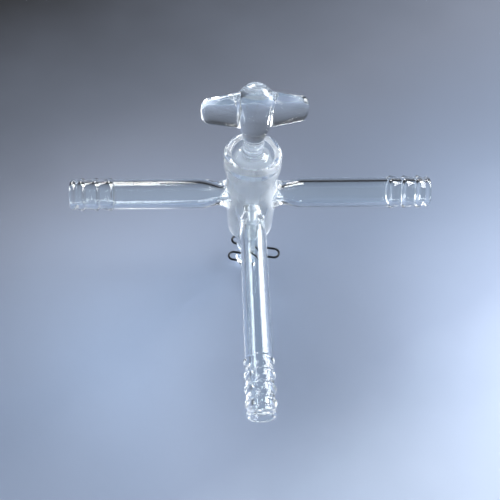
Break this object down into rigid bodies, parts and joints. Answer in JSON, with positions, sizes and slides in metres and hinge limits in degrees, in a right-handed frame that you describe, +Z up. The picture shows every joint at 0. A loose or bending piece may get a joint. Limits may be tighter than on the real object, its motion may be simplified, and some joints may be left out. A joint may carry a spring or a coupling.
{
  "type": "glass stopcock",
  "caption": "Three-way glass stopcock: fused barrel with barbed hose arms, a ground glass key with a T-shaped passage and winged handle, and a wire retaining clip.",
  "frame": {"origin": "where the axes of the three arms cross the axis of the key, in the middle of the barrel's passage", "axes": "+Z up along the key to its handle, +X along the right side arm, the left side arm points to -X and the third arm to -Y"},
  "size_m": [0.1314, 0.1003, 0.0965],
  "materials": {
    "body_glass": "clear, fire polished, ground inside the barrel",
    "key_glass": "clear handle, finely ground cone",
    "clip_wire": "dark drawn spring steel wire"
  },
  "bodies": {
    "body": {"glass_body": "body_glass"},
    "key": {"key": "key_glass", "wire_clip": "clip_wire"}
  },
  "joints": [
    {"name": "key_turn", "type": "hinge", "parent": "body", "child": "key", "pos_m": [0, 0, 0], "axis": [0, 0, 1], "continuous": true}
  ]
}
